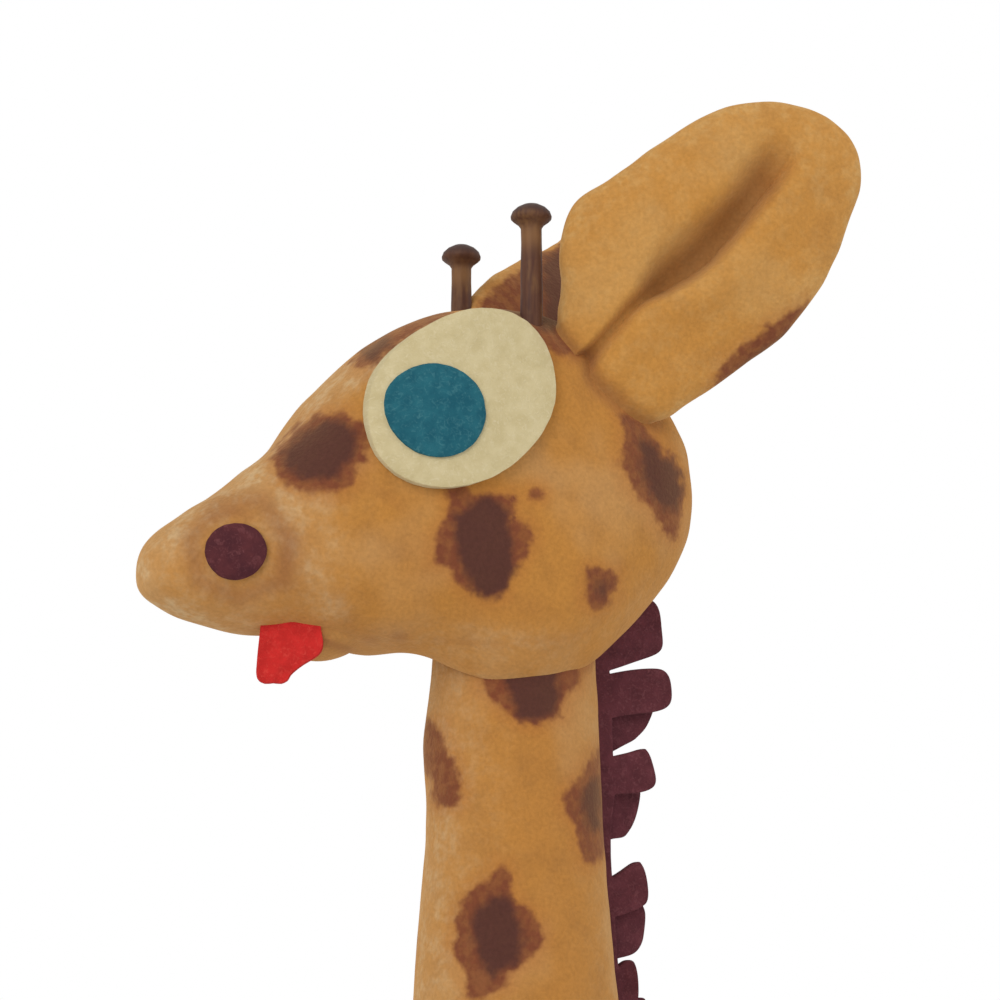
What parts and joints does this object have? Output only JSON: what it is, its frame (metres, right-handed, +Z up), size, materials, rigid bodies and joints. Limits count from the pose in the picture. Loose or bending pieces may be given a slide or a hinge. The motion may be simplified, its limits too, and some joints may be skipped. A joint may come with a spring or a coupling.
{
  "type": "stuffed toy giraffe",
  "caption": "Standing stuffed giraffe with a long wire-stiffened neck, creased leaf-shaped ears, peg horns, felt eyes, nostrils, tongue and cut felt mane, and a hanging tail.",
  "frame": {"origin": "on the floor, under the middle of the animal's bounding box; the mid-plane of the animal is Y = 0", "axes": "+Z up; the animal faces -X, and its left side is -Y"},
  "size_m": [0.129, 0.0525, 0.2581],
  "materials": {
    "tan_velveteen": "short napped pile with airbrushed brown spots",
    "plum_felt": "matt wool felt",
    "cream_felt": "matt wool felt",
    "teal_felt": "matt wool felt",
    "red_felt": "matt wool felt",
    "brown_peg": "brown stain under a thin varnish",
    "steel_wire": "plain drawn wire"
  },
  "bodies": {
    "trunk": {"head": "tan_velveteen", "neck": "tan_velveteen", "torso": "tan_velveteen", "neck_wire": "steel_wire", "front_left_leg": "tan_velveteen", "front_left_sole": "plum_felt", "hind_left_leg": "tan_velveteen", "hind_left_sole": "plum_felt", "front_right_leg": "tan_velveteen", "front_right_sole": "plum_felt", "hind_right_leg": "tan_velveteen", "hind_right_sole": "plum_felt", "left_horn": "brown_peg", "right_horn": "brown_peg", "left_eye_white": "cream_felt", "right_eye_white": "cream_felt", "left_iris": "teal_felt", "right_iris": "teal_felt", "left_nostril": "plum_felt", "right_nostril": "plum_felt", "tongue": "red_felt", "mane_left_strip": "plum_felt", "mane_right_strip": "plum_felt"},
    "ear_left": {"left_ear": "tan_velveteen"},
    "ear_right": {"right_ear": "tan_velveteen"},
    "tail_hanging": {"tail": "tan_velveteen", "tail_tuft": "plum_felt"}
  },
  "joints": [
    {"name": "left_ear_fold", "type": "hinge", "parent": "trunk", "child": "ear_left", "pos_m": [-0.01324, -0.0106, 0.2286], "axis": [0.7538, -0.131, -0.6439], "range_deg": [-20, 25], "stiffness_Nm_per_rad": 0.02},
    {"name": "right_ear_fold", "type": "hinge", "parent": "trunk", "child": "ear_right", "pos_m": [-0.01324, 0.0106, 0.2286], "axis": [-0.658, -0.0666, 0.7501], "range_deg": [-20, 25], "stiffness_Nm_per_rad": 0.02},
    {"name": "tail_swing", "type": "hinge", "parent": "trunk", "child": "tail_hanging", "pos_m": [0.05496, 0, 0.108], "axis": [0, -1, 0], "range_deg": [0, 70]}
  ]
}
